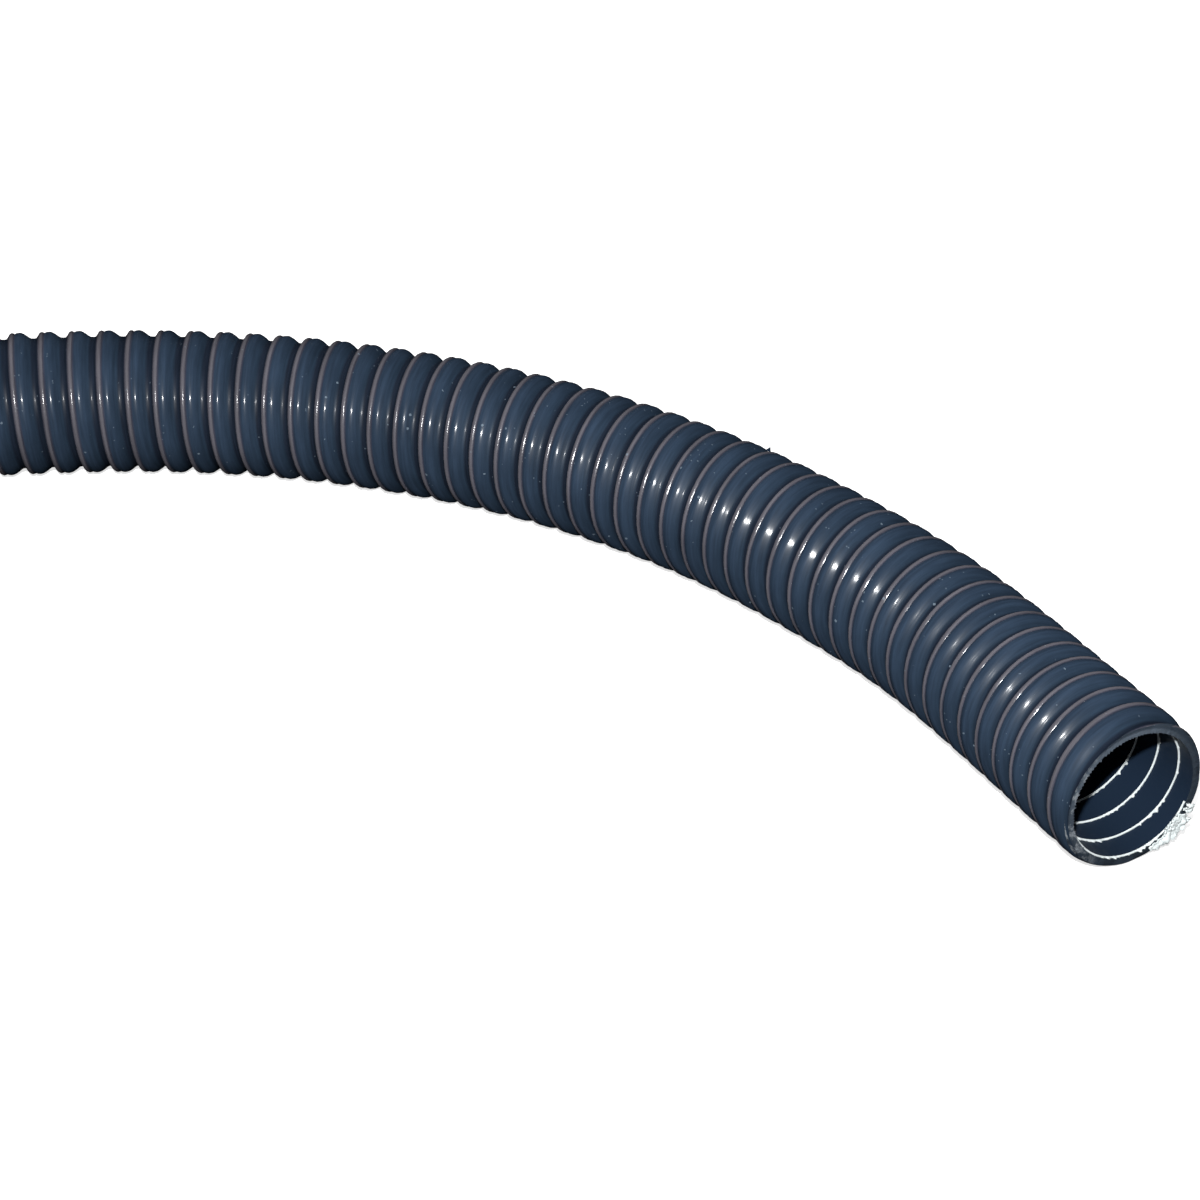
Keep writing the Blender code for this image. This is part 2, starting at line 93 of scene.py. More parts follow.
def smooth_curve(points):
    """Evenly spaced points on the natural cubic spline through the given points."""
    points = np.array(points)
    knots = np.concatenate([[0.0], np.cumsum(np.linalg.norm(np.diff(points, axis=0), axis=1))])
    steps = np.diff(knots)
    slopes = np.diff(points, axis=0) / steps[:, None]
    system = np.eye(len(points))
    bends = np.zeros_like(points)
    for i in range(1, len(points) - 1):
        system[i, i - 1 : i + 2] = steps[i - 1], 2 * (steps[i - 1] + steps[i]), steps[i]
        bends[i] = 6 * (slopes[i] - slopes[i - 1])
    bends = np.linalg.solve(system, bends)
    at = np.linspace(0.0, knots[-1], int(knots[-1] / ROUTE_SPACING) + 1)
    i = np.clip(np.searchsorted(knots, at, side="right") - 1, 0, len(steps) - 1)
    along = (at - knots[i])[:, None]
    rise = slopes[i] - steps[i, None] * (2 * bends[i] + bends[i + 1]) / 6
    curl = (bends[i + 1] - bends[i]) / (6 * steps[i, None])
    return points[i] + along * (rise + along * (bends[i] / 2 + along * curl))


def coil_radius(swept):
    """Distance of the hose from the coil's centre, when it has swept an angle from the coil's start."""
    return COIL_START_RADIUS - COIL_PITCH * swept / math.tau


def coil_points():
    count = round(COIL_POINTS_PER_TURN * COIL_SWEEP / math.tau)
    swept = COIL_SWEEP * np.arange(count + 1) / count
    angle = COIL_START_ANGLE + swept
    x = COIL_CENTRE[0] + coil_radius(swept) * np.cos(angle)
    y = COIL_CENTRE[1] + coil_radius(swept) * np.sin(angle)
    return [tuple(point) for point in np.stack([x, y, np.full_like(x, COIL_Z)], axis=1)]


def unit(vectors):
    """The vectors, each at length 1."""
    return vectors / np.linalg.norm(vectors, axis=-1, keepdims=True)


CENTRELINE = smooth_curve(list(FRONT_ROUTE) + coil_points() + list(TAIL_ROUTE))
TANGENTS = unit(np.gradient(CENTRELINE, axis=0))
ALONG = np.concatenate([[0.0], np.cumsum(np.linalg.norm(np.diff(CENTRELINE, axis=0), axis=1))])
HOSE_END = float(ALONG[-1])
UP = np.array([0.0, 0.0, 1.0])


def hose_frame(distance):
    """Centre, inward tangent, side and up at each distance. Past its ends the hose runs on straight."""
    inside = np.clip(distance, 0.0, HOSE_END)
    centre = np.stack([np.interp(inside, ALONG, CENTRELINE[:, i]) for i in range(3)], axis=-1)
    tangent = unit(np.stack([np.interp(inside, ALONG, TANGENTS[:, i]) for i in range(3)], axis=-1))
    centre = centre + (distance - inside)[..., None] * tangent
    side = unit(np.cross(UP, tangent))
    return centre, tangent, side, np.cross(tangent, side)


def on_hose(distance, turned, radius):
    """Points at an angle from the top of the hose, clockwise as seen looking in at the sawn end."""
    centre, _, side, up = hose_frame(distance)
    return centre + radius[..., None] * (np.cos(turned)[..., None] * up - np.sin(turned)[..., None] * side)


# ---------------------------------------------------------------- meshes


def add_object(name, mesh, slot=None):
    """A new object: with a slot a piece of the hose assembly, and without one a part of the studio."""
    obj = bpy.data.objects.new(name, mesh)
    bpy.context.scene.collection.objects.link(obj)
    if slot:
        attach(obj, "hose_assembly")
    return obj


def new_mesh(name, points, faces):
    mesh = bpy.data.meshes.new(name)
    mesh.from_pydata([tuple(point) for point in points], [], faces)
    return mesh


def finish_mesh(mesh, material, sharp_over=None):
    """Gives a mesh its material, smooth but with sharp edges where faces meet at over so many degrees."""
    mesh.shade_smooth()
    if sharp_over:
        mesh.set_sharp_from_angle(angle=math.radians(sharp_over))
    mesh.materials.append(material)


def tube_faces(rings, sides, first=0, closed=False, inward=False):
    """Faces between rings of points, which are numbered ring by ring from the first."""
    faces = []
    for ring in range(rings if closed else rings - 1):
        near = first + ring * sides
        far = first + (ring + 1) % rings * sides
        for side in range(sides):
            beside = (side + 1) % sides
            face = (near + side, near + beside, far + beside, far + side)
            faces.append((face[0], *reversed(face[1:])) if inward else face)
    return faces


# ---------------------------------------------------------------- materials


def new_material(name):
    material = bpy.data.materials.new(name)
    material.use_nodes = True
    return material, material.node_tree.nodes["Principled BSDF"]


class Nodes:
    """Short calls for building a material's nodes. Each value is a node's output or a plain value."""

    def __init__(self, material):
        self.tree = material.node_tree

    def add(self, kind, inputs=(), **settings):
        node = self.tree.nodes.new(kind)
        for name, value in settings.items():
            setattr(node, name, value)
        for key, value in dict(inputs).items():
            self.put(value, node.inputs[key])
        return node

    def put(self, value, socket):
        """Links an output to the socket, or sets a plain value on it."""
        if isinstance(value, bpy.types.NodeSocket):
            self.tree.links.new(value, socket)
        else:
            socket.default_value = value

    def object_place(self):
        return self.add("ShaderNodeTexCoord").outputs["Object"]

    def uv(self, name):
        return self.add("ShaderNodeUVMap", uv_map=name).outputs["UV"]

    def split(self, vector):
        return self.add("ShaderNodeSeparateXYZ", {0: vector}).outputs

    def math(self, operation, a, b=0.0):
        return self.add("ShaderNodeMath", {0: a, 1: b}, operation=operation).outputs[0]

    def times(self, a, b):
        return self.math("MULTIPLY", a, b)

    def above(self, value, limit):
        """1 where the value is over the limit, and 0 elsewhere."""
        return self.math("GREATER_THAN", value, limit)

    def below(self, value, limit):
        """1 where the value is under the limit, and 0 elsewhere."""
        return self.math("LESS_THAN", value, limit)

    def rescale(self, value, start=0.0, end=1.0, low=0.0, high=1.0):
        """Low where the value is at start, high where it is at end, and no further beyond them."""
        inputs = {0: value, 1: start, 2: end, 3: low, 4: high}
        return self.add("ShaderNodeMapRange", inputs).outputs[0]

    def mix(self, share, a, b):
        """A blend of two colours, which is all b where the share is 1."""
        node = self.add("ShaderNodeMix", data_type="RGBA")
        self.put(share, node.inputs["Factor"])
        self.put(a, node.inputs[6])
        self.put(b, node.inputs[7])
        return node.outputs[2]

    def gain(self, colour, factor):
        return self.add("ShaderNodeVectorMath", {0: colour, 3: factor}, operation="SCALE").outputs[0]

    def vary(self, share, colour, low, high):
        """The colour times a factor that goes from low to high with the share."""
        return self.mix(share, self.gain(colour, low), self.gain(colour, high))

    def stretch(self, vector, scale):
        return self.add("ShaderNodeMapping", {"Vector": vector, "Scale": scale}).outputs[0]

    def noise(self, vector, scale, detail=4.0, roughness=0.5):
        inputs = {"Vector": vector, "Scale": scale, "Detail": detail, "Roughness": roughness}
        return self.add("ShaderNodeTexNoise", inputs).outputs["Fac"]

    def scatter(self, vector, scale):
        """Distance from the nearest of many scattered points."""
        return self.add("ShaderNodeTexVoronoi", {"Vector": vector, "Scale": scale}).outputs["Distance"]

    def bump(self, height, distance, strength, normal=None):
        inputs = {"Strength": strength, "Distance": distance, "Height": height}
        if normal:
            inputs["Normal"] = normal
        return self.add("ShaderNodeBump", inputs).outputs[0]

    def ramp(self, value, stops):
        """A colour ramp with (position, (r, g, b)) stops."""
        node = self.add("ShaderNodeValToRGB", {"Fac": value})
        elements = node.color_ramp.elements
        while len(elements) < len(stops):
            elements.new(0.5)
        for element, (position, colour) in zip(elements, stops):
            element.position = position
            element.color = (*colour, 1.0)
        return node.outputs["Color"]


# Colours over one pitch of the ribs, by share of the pitch. Painted shade darkens the groove and its floor.
# The next two are the hose's own blue, darkened as painted shade: most in the groove, less on its floor.
GROOVE_SHADE_COLOUR = (0.010, 0.015, 0.026)
GROOVE_FLOOR_SHADE_COLOUR = (0.017, 0.030, 0.050)
TOP_COLOUR = (0.0225, 0.038, 0.064)
BEAD_COLOUR = (0.098, 0.094, 0.110)
BEAD_EDGE_COLOUR = (0.040, 0.042, 0.062)
RIB_COLOURS_AND_GROOVE_SHADE = (
    (0.00, GROOVE_SHADE_COLOUR), (0.05, GROOVE_SHADE_COLOUR), (0.14, GROOVE_FLOOR_SHADE_COLOUR), (0.34, TOP_COLOUR),
    (0.58, TOP_COLOUR), (0.65, BEAD_EDGE_COLOUR), (0.69, BEAD_COLOUR), (0.79, BEAD_COLOUR),
    (0.84, BEAD_EDGE_COLOUR), (0.87, GROOVE_SHADE_COLOUR),
)
# How strong the glossy coat is, likewise
RIB_SHINE = (
    (0.0, 0.06), (0.16, 0.06), (0.24, 0.32), (0.62, 0.32), (0.64, 0.2), (0.66, 1.0), (0.82, 1.0),
    (0.88, 0.06),
)
BEAD_START, BEAD_END = 0.66, 0.84
BORE_COLOUR = (0.011, 0.021, 0.040, 1.0)
HOSE_DUST_COLOUR = (0.26, 0.33, 0.40, 1.0)

SAWN_DARK_COLOUR = (0.030, 0.042, 0.058, 1.0)
SAWN_PALE_COLOUR = (0.115, 0.145, 0.185, 1.0)
SAWN_EDGE_COLOUR = (0.026, 0.037, 0.053, 1.0)
SAWN_PATCH_COLOUR = (0.30, 0.33, 0.36, 1.0)


def sawn_face(n, place):
    """Where the sawn end's face is, and its colour: pale at the top, dark at the rim, rough at the left."""
    x, y, z = n.split(place)
    across = n.math("SUBTRACT", x, SAWN_END[0])
    up = n.math("SUBTRACT", z, SAWN_END[2])
    facing = n.split(n.add("ShaderNodeNewGeometry").outputs["True Normal"])["Y"]
    sawn = n.times(n.below(facing, -0.5), n.below(y, SAWN_END[1] + 0.001))
    sawn = n.times(sawn, n.above(across, -HOSE_DIAMETER))
    pale = n.times(n.rescale(z, 0.008, 0.040), n.rescale(across, 0.002, 0.016, 1.0, 0.25))
    colour = n.mix(pale, SAWN_DARK_COLOUR, SAWN_PALE_COLOUR)
    scuffs = n.noise(place, 700.0, 3.0, 0.6)
    colour = n.mix(n.times(scuffs, 0.5), colour, n.gain(colour, 0.4))
    radius = n.math("POWER", n.math("ADD", n.times(across, across), n.times(up, up)), 0.5)
    colour = n.mix(n.rescale(radius, 0.0199, 0.0205, high=0.8), colour, SAWN_EDGE_COLOUR)
    spots = n.rescale(n.noise(place, 480.0, 4.0, 0.65), 0.48, 0.62)
    patches = n.times(n.rescale(across, -0.010, -0.018), spots)
    return sawn, n.mix(n.times(patches, 0.8), colour, SAWN_PATCH_COLOUR)


def hose_dust(n, place):
    """How strong the dust is: specks in some places, and fewer and finer ones in the others."""
    dusty = n.above(n.noise(place, 90.0, 2.0), 0.60)
    specks = n.times(n.below(n.scatter(place, 260.0), 0.11), dusty)
    fine = n.times(n.below(n.scatter(place, 610.0), 0.14), n.math("SUBTRACT", 1.0, dusty))
    fine = n.times(fine, n.above(n.noise(place, 170.0, 2.0), 0.60))
    return n.math("MAXIMUM", specks, n.times(fine, 0.6))


def hose_material():
    """Glossy slate-blue PVC. Each rib ends in a mauve-grey bead, with painted shade darkening the groove
    behind it.
    """
    material, shader = new_material("hose_pvc")
    n = Nodes(material)
    uv = n.uv("rib")
    place = n.object_place()
    phase = n.split(uv)["X"]
    outside = n.above(phase, 0.0001)  # the bore and the sawn face have no place on the ribs
    on_bead = n.times(n.above(phase, BEAD_START), n.below(phase, BEAD_END))
    sawn, sawn_colour = sawn_face(n, place)
    cloud = n.noise(place, 60.0)
    streak = n.noise(n.stretch(uv, (11.0, 9.0, 1.0)), 1.0, 3.0, 0.6)
    ripple = n.times(n.noise(n.stretch(uv, (2.0, 260.0, 1.0)), 1.0, 2.0), on_bead)
    grain = n.times(n.noise(place, 1500.0, 3.0, 0.7), sawn)

    # The ribs' colours, with painted shade in the grooves, varied at random by the cloud.
    colour = n.vary(cloud, n.ramp(phase, RIB_COLOURS_AND_GROOVE_SHADE), 0.78, 1.45)
    colour = n.vary(streak, colour, 0.45, 1.45)
    colour = n.mix(n.times(hose_dust(n, place), 0.45), colour, HOSE_DUST_COLOUR)
    colour = n.mix(outside, BORE_COLOUR, colour)
    n.put(n.mix(sawn, colour, sawn_colour), shader.inputs["Base Color"])

    n.put(n.rescale(cloud, low=0.36, high=0.52), shader.inputs["Roughness"])
    n.put(0.12, shader.inputs["Specular IOR Level"])
    shine = n.ramp(phase, [(at, (weight,) * 3) for at, weight in RIB_SHINE])
    n.put(n.times(outside, shine), shader.inputs["Coat Weight"])
    n.put(n.rescale(on_bead, low=0.15, high=0.19), shader.inputs["Coat Roughness"])

    bumps = n.bump(streak, 0.0001, 0.4)
    bumps = n.bump(ripple, 0.0001, 0.5, bumps)
    bumps = n.bump(grain, 0.0004, 1.0, bumps)
    n.put(bumps, shader.inputs["Normal"])
    n.put(bumps, shader.inputs["Coat Normal"])
    return material


def rigid_material():
    """White rigid PVC, chalky where it is torn."""
    material, shader = new_material("rigid_pvc")
    n = Nodes(material)
    cloud = n.noise(n.object_place(), 600.0, 4.0, 0.6)
    n.put(n.mix(cloud, (0.46, 0.53, 0.53, 1.0), (0.90, 0.95, 0.96, 1.0)), shader.inputs["Base Color"])
    n.put(n.rescale(cloud, low=0.35, high=0.75), shader.inputs["Roughness"])
    n.put(n.bump(cloud, 0.0002, 0.3), shader.inputs["Normal"])
    return material


def webbing_material():
    """Black hook-and-loop webbing with a plain weave and painted shade between its threads, from the strap's
    UV in millimetres.
    """
    material, shader = new_material("webbing")
    n = Nodes(material)
    uv = n.uv("strap")
    along, across, _ = n.split(uv)
    thread = math.tau / 1.1
    weave = n.times(n.math("SINE", n.times(along, thread)), n.math("SINE", n.times(across, thread)))
    height = n.math("ADD", weave, n.times(n.noise(uv, 2.5, 4.0, 0.7), 1.5))
    # Painted shade: darker where the weave lies low, lighter on the raised threads; the noise adds tone that
    # differs at random.
    weave_shade_and_tone = n.rescale(height, -1.0, 2.0)
    n.put(n.mix(weave_shade_and_tone, (0.004, 0.004, 0.005, 1.0), (0.035, 0.035, 0.038, 1.0)), shader.inputs["Base Color"])
    n.put(0.9, shader.inputs["Roughness"])
    n.put(0.3, shader.inputs["Sheen Weight"])
    n.put(n.bump(height, 0.0003, 0.7), shader.inputs["Normal"])
    return material


def moulded_material(name, colour, roughness, grain=1.0):
    """Moulded plastic or rubber: mottled, with a spark-eroded grain, faint scratches and dust."""
    material, shader = new_material(name)
    n = Nodes(material)
    place = n.object_place()
    cloud = n.noise(place, 45.0, 5.0, 0.6)
    scratch = n.rescale(n.noise(n.stretch(place, (90.0, 700.0, 500.0)), 1.0, 2.0), 0.66, 0.72)
    dark, light = [(*(part * factor for part in colour), 1.0) for factor in (0.75, 1.35)]
    dust = n.math("ADD", n.times(n.rescale(cloud, 0.5, 0.75), 0.12), n.times(scratch, 0.10))
    n.put(n.mix(dust, n.mix(cloud, dark, light), (0.30, 0.31, 0.32, 1.0)), shader.inputs["Base Color"])
    worn = n.math("ADD", cloud, scratch)
    n.put(n.rescale(worn, low=roughness - 0.08, high=roughness + 0.10), shader.inputs["Roughness"])
    fine = n.noise(place, 1400.0, 3.0, 0.6)
    height = n.math("ADD", n.times(fine, grain), n.times(scratch, -0.4))
    n.put(n.bump(height, 0.0001, 0.5), shader.inputs["Normal"])
    return material


def steel_material():
    """Rolled stainless steel with fine rolling marks and a few dull specks."""
    material, shader = new_material("steel")
    n = Nodes(material)
    place = n.object_place()
    marks = n.noise(n.stretch(place, (2600.0, 160.0, 160.0)), 1.0, 3.0, 0.6)
    specks = n.rescale(n.noise(place, 420.0, 4.0, 0.7), 0.62, 0.70)
    bright = n.mix(marks, (0.42, 0.43, 0.44, 1.0), (0.66, 0.67, 0.68, 1.0))
    n.put(n.mix(n.times(specks, 0.5), bright, (0.20, 0.17, 0.14, 1.0)), shader.inputs["Base Color"])
    n.put(1.0, shader.inputs["Metallic"])
    n.put(n.rescale(n.math("ADD", marks, specks), low=0.20, high=0.42), shader.inputs["Roughness"])
    n.put(n.bump(marks, 0.00005, 0.3), shader.inputs["Normal"])
    return material


# ---------------------------------------------------------------- camera, floor and lights

CAMERA_PLACE = (-0.0553, -0.8240, 0.5506)
CAMERA_TARGET = (0.353, -0.031, 0.0)
CAMERA_ROLL = math.radians(-0.98)
CAMERA_LENS = 105.1  # mm, for a sensor of 36 mm
FLOOR_HALF_SIZE = 20.0


def make_camera():
    """A short telephoto view down on the sawn end and the run of hose behind it."""
    eye = Vector(CAMERA_PLACE)
    forward = (Vector(CAMERA_TARGET) - eye).normalized()
    level = forward.cross(Vector((0, 0, 1))).normalized()
    upright = level.cross(forward)
    right = math.cos(CAMERA_ROLL) * level + math.sin(CAMERA_ROLL) * upright
    up = math.cos(CAMERA_ROLL) * upright - math.sin(CAMERA_ROLL) * level
    camera = bpy.data.objects.new("camera", bpy.data.cameras.new("camera"))
    camera.data.lens = CAMERA_LENS
    camera.data.sensor_width = 36.0
    camera.data.clip_start = 0.01
    camera.matrix_world = Matrix.Translation(eye) @ Matrix((right, up, -forward)).transposed().to_4x4()
    bpy.context.scene.collection.objects.link(camera)
    bpy.context.scene.camera = camera


def make_floor():
    """A pale studio floor that glows a little, so that it stays near white and keeps only soft shadows."""
    corners = [(x, y, 0.0) for y, x in product((-FLOOR_HALF_SIZE, FLOOR_HALF_SIZE), repeat=2)]
    floor = add_object("floor", new_mesh("floor", corners, [(0, 1, 3, 2)]))
    material, shader = new_material("floor")
    n = Nodes(material)
    n.put((0.86, 0.86, 0.86, 1.0), shader.inputs["Base Color"])
    n.put(0.9, shader.inputs["Roughness"])
    n.put(0.0, shader.inputs["Specular IOR Level"])
    n.put((1.0, 1.0, 1.0, 1.0), shader.inputs["Emission Color"])
    n.put(0.72, shader.inputs["Emission Strength"])
    floor.data.materials.append(material)
    floor.visible_diffuse = False
    floor.visible_glossy = False


def area_light(name, place, target, size, power):
    data = bpy.data.lights.new(name, "AREA")
    data.shape = "DISK"
    data.size = size
    data.energy = power
    light = bpy.data.objects.new(name, data)
    light.location = place
    light.rotation_euler = (Vector(target) - Vector(place)).to_track_quat("-Z", "Y").to_euler()
    bpy.context.scene.collection.objects.link(light)
    return light


def make_lights():
    """One small bright lamp up to the left of the camera, and dim fill that makes no highlights."""
    world = bpy.data.worlds.new("studio")
    world.use_nodes = True
    background = world.node_tree.nodes["Background"]
    background.inputs["Color"].default_value = (1.0, 1.0, 1.0, 1.0)
    background.inputs["Strength"].default_value = 0.10
    world.cycles_visibility.glossy = False
    bpy.context.scene.world = world
    overhead = area_light("overhead", (0.1, 0.2, 2.2), (0.1, 0.0, 0.0), size=2.4, power=12.0)
    behind = area_light("behind", (0.9, 1.7, 0.6), (0.0, 0.0, 0.0), size=1.2, power=8.0)
    for fill in (overhead, behind):
        fill.visible_glossy = False
    area_light("flash", (-0.144, -0.878, 0.774), CAMERA_TARGET, size=0.04, power=20.0)
    bpy.context.scene.view_settings.view_transform = "Standard"


# ---------------------------------------------------------------- the hose

STEPS_PER_TURN = 144  # the finest steps round the hose, of which the coarser stretches skip some
TURNS_AT_MOUTH = 3
TURNS_IN_SIGHT = 50
PROFILE_PHASES = tuple(phase for phase, _ in RIB_PROFILE)
PROFILE_LINES = len(PROFILE_PHASES)
SAWN_RADIUS = 0.0211  # of the outside at the sawn end
DRAWN_LENGTH = 0.0035  # behind the sawn end, over which the outside grows to the ribs' size
MOUTH_SIDES = 240  # round the bore's edge at the sawn end
BORE_SIDES = 48  # further in
MOUTH_RINGS = (0.0, 0.0003, 0.0009, 0.002, 0.004, 0.007, 0.011)
ROUGHEST_TURN = math.radians(-50)  # where round the sawn end the bore's edge has its longest teeth
END_REACH = 3e-4  # how far an open edge at an end may lie from the end's plane
SPUR_DISTANCE = 0.1775
SPUR_TURN = math.radians(38)


def rib_radius(phase):
    """Radius over the ribs at a share of the pitch."""
    phases, depths = zip(*RIB_PROFILE, (1.0, RIB_PROFILE[0][1]))
    return HOSE_RADIUS - np.interp(phase, phases, depths) / 1000


def drawn_in(distance, radius):
    """The radius, but a little smaller just behind the sawn end."""
    growth = np.sqrt(np.clip(distance / DRAWN_LENGTH, 0.0, 1.0))
    return np.minimum(radius, SAWN_RADIUS + (HOSE_RADIUS - SAWN_RADIUS) * growth)


def rib_distance(pitches):
    """The distance along the hose after a number of pitches from the first groove."""
    even = FIRST_GROOVE + RIB_PITCH * pitches
    places, creep = zip(*RIB_CREEP)
    return even - RIB_PITCH * np.interp(even, places, creep)


def spiral_cells():
    """Cells between the profile's lines: (first step, steps, first line, lines), finest at the mouth."""
    last_turn = math.ceil((HOSE_END - FIRST_GROOVE) / RIB_PITCH) + 1
    stretches = (
        (-2, TURNS_AT_MOUTH, 2, 1),
        (TURNS_AT_MOUTH, TURNS_IN_SIGHT, 3, 1),
        (TURNS_IN_SIGHT, last_turn, 6, 2),
    )
    for first_turn, end_turn, steps, lines in stretches:
        for step in range(first_turn * STEPS_PER_TURN, end_turn * STEPS_PER_TURN, steps):
            for line in range(0, PROFILE_LINES, lines):
                yield step, steps, line, lines


def shared(step, line):
    """The point's one name: the line past the profile's last one is the next turn's first."""
    return (step + STEPS_PER_TURN, line - PROFILE_LINES) if line >= PROFILE_LINES else (step, line)


def cell_rim(step, steps, line, lines):
    """All points that could lie round a cell, in order."""
    rim = [(between, line) for between in range(step, step + steps)]
    rim += [(step + steps, between) for between in range(line, line + lines)]
    rim += [(between, line + lines) for between in range(step + steps, step, -1)]
    rim += [(step, between) for between in range(line + lines, line, -1)]
    return rim


def ribbed_surface():
    """Points, faces and the faces' (step, line) corners of the ribbed outside: one endless spiral strip."""
    cells = list(spiral_cells())
    used = set()
    for step, steps, line, lines in cells:
        used.update(shared(*corner) for corner in product((step, step + steps), (line, line + lines)))
    names = sorted(used)
    number = {name: i for i, name in enumerate(names)}
    corners = [[corner for corner in cell_rim(*cell) if shared(*corner) in number] for cell in cells]
    faces = [[number[shared(*corner)] for corner in rim] for rim in corners]
    step, line = np.array(names).T
    phase = np.array(PROFILE_PHASES)[line]
    distance = rib_distance(step / STEPS_PER_TURN + phase)
    radius = drawn_in(distance, rib_radius(phase))
    return on_hose(distance, math.tau * step / STEPS_PER_TURN, radius), faces, corners


def around(distances, sides):
    """Distance and angle of points in rings round the hose."""
    return np.meshgrid(distances, math.tau * np.arange(sides) / sides, indexing="ij")


def mouth_points():
    """The bore's rings at the sawn end, with teeth on its edge."""
    distance, turned = around(np.array(MOUTH_RINGS), MOUTH_SIDES)
    radius = np.full_like(distance, BORE_RADIUS)
    for side, angle in enumerate(turned[0]):
        rough = max(0.0, math.cos(angle - ROUGHEST_TURN))
        tooth = (side % 2) * (0.6 + noise.noise(Vector((side * 0.37, 3.0, 0.0))))
        radius[0, side] -= (0.00012 + 0.00060 * rough) * tooth
        radius[1, side] -= (0.00004 + 0.00025 * rough) * tooth
        distance[0, side] -= 0.0002 * noise.noise(Vector((side * 0.5, 9.0, 0.0)))
    return on_hose(distance, turned, radius).reshape(-1, 3)


def bore_surface():
    """Points and faces of the bore, in many narrow faces at the sawn end and fewer further in."""
    far_rings = np.concatenate(
        [np.linspace(0.016, 0.09, 16), np.arange(0.115, HOSE_END - 0.01, 0.025), [HOSE_END]]
    )
    distance, turned = around(far_rings, BORE_SIDES)
    far_points = on_hose(distance, turned, np.full_like(distance, BORE_RADIUS)).reshape(-1, 3)
    last_near, first_far = (len(MOUTH_RINGS) - 1) * MOUTH_SIDES, len(MOUTH_RINGS) * MOUTH_SIDES
    share = MOUTH_SIDES // BORE_SIDES
    faces = tube_faces(len(MOUTH_RINGS), MOUTH_SIDES, inward=True)
    for side in range(BORE_SIDES):
        fine = [last_near + (side * share + i) % MOUTH_SIDES for i in range(share + 1)]
        faces.append((*reversed(fine), first_far + side, first_far + (side + 1) % BORE_SIDES))
    faces += tube_faces(len(far_rings), BORE_SIDES, first=first_far, inward=True)
    return np.concatenate([mouth_points(), far_points]), faces


def hose_ends():
    """The centre and outward direction of each end of the hose."""
    centres, tangents, _, _ = hose_frame(np.array([0.0, HOSE_END]))
    return (Vector(centres[0]), Vector(-tangents[0])), (Vector(centres[1]), Vector(tangents[1]))


def cut_ribs(shape, centre, outward):
    """Cuts the ribs off square at one end."""
    near = [v for v in shape.verts if (v.co - centre).length < HOSE_DIAMETER]
    edges = dict.fromkeys(edge for v in near for edge in v.link_edges)
    faces = dict.fromkeys(face for v in near for face in v.link_faces)
    bmesh.ops.bisect_plane(
        shape, geom=[*near, *edges, *faces], dist=1e-6, plane_co=centre, plane_no=outward, clear_outer=True,
    )


def close_end(shape, centre, outward):
    """Joins the ribs to the bore by a flat face at one end."""
    edges = [
        edge
        for edge in shape.edges
        if edge.is_boundary and all(abs((v.co - centre).dot(outward)) < END_REACH for v in edge.verts)
    ]
    bmesh.ops.bridge_loops(shape, edges=edges)


def add_spur(shape):
    """A small spike of moulding flash on a rib."""
    distance = SPUR_DISTANCE + np.array([-0.0009, 0.0009, 0.0, 0.0004])
    turned = SPUR_TURN + np.array([-0.04, -0.03, 0.05, 0.01])
    radius = HOSE_RADIUS + np.array([-0.0006, -0.0006, -0.0006, 0.0009])
    a, b, c, tip = [shape.verts.new(point) for point in on_hose(distance, turned, radius)]
    for corners in ((a, b, c), (a, tip, b), (b, tip, c), (c, tip, a)):
        shape.faces.new(corners)


def make_hose():
    """The whole hose as one closed skin: the ribs, the bore and a flat face at each end."""
    points, faces, corners = ribbed_surface()
    mesh = new_mesh("hose", points, faces)
    phases = (*PROFILE_PHASES, 1.0)
    places = [(phases[line], step / STEPS_PER_TURN) for rim in corners for step, line in rim]
    mesh.uv_layers.new(name="rib").data.foreach_set("uv", np.array(places, np.float32).ravel())
    shape = bmesh.new()
    shape.from_mesh(mesh)
    for centre, outward in hose_ends():
        cut_ribs(shape, centre, outward)
    bore_points, bore_faces = bore_surface()
    verts = [shape.verts.new(point) for point in bore_points]
    for face in bore_faces:
        shape.faces.new([verts[i] for i in face])
    add_spur(shape)
    for centre, outward in hose_ends():
        close_end(shape, centre, outward)
    bmesh.ops.recalc_face_normals(shape, faces=shape.faces[:])
    shape.to_mesh(mesh)
    shape.free()
    finish_mesh(mesh, hose_material(), sharp_over=55)
    hose = add_object("hose", mesh, slot="hose_pvc")
    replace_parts(hose, "hose_mouth", "hose_run", "hose_coil", "hose_lead", "hose_tail")
    return hose


# ---------------------------------------------------------------- the rigid spiral and its torn end

SPIRAL_TOP = 0.0039  # depth behind the sawn end at which the spiral's edge first passes the top of the bore
SPIRAL_TURNS = 5.4
SPIRAL_STEPS = 300  # per turn
SPIRAL_LEAST_DEPTH = 0.00025
# The edge's outline: place along the hose in mm, share of the burrs' reach, height over the bore in mm
SPIRAL_SECTION = (
    (-0.15, 1.0, 0.02), (-0.18, 0.4, 0.26), (-0.10, 0.0, 0.50), (0.14, 0.0, 0.46), (0.28, 0.0, 0.20),
    (0.32, 0.0, -0.20),
)
TORN_START, TORN_END = math.radians(-246), math.radians(-198)  # where the torn end lies on the sawn face
TORN_ACROSS, TORN_ALONG = 39, 110  # points of its sheet
TORN_INNER, TORN_WIDTH = 16.8, 6.9  # inner radius and width of its sheet before it is torn, in mm
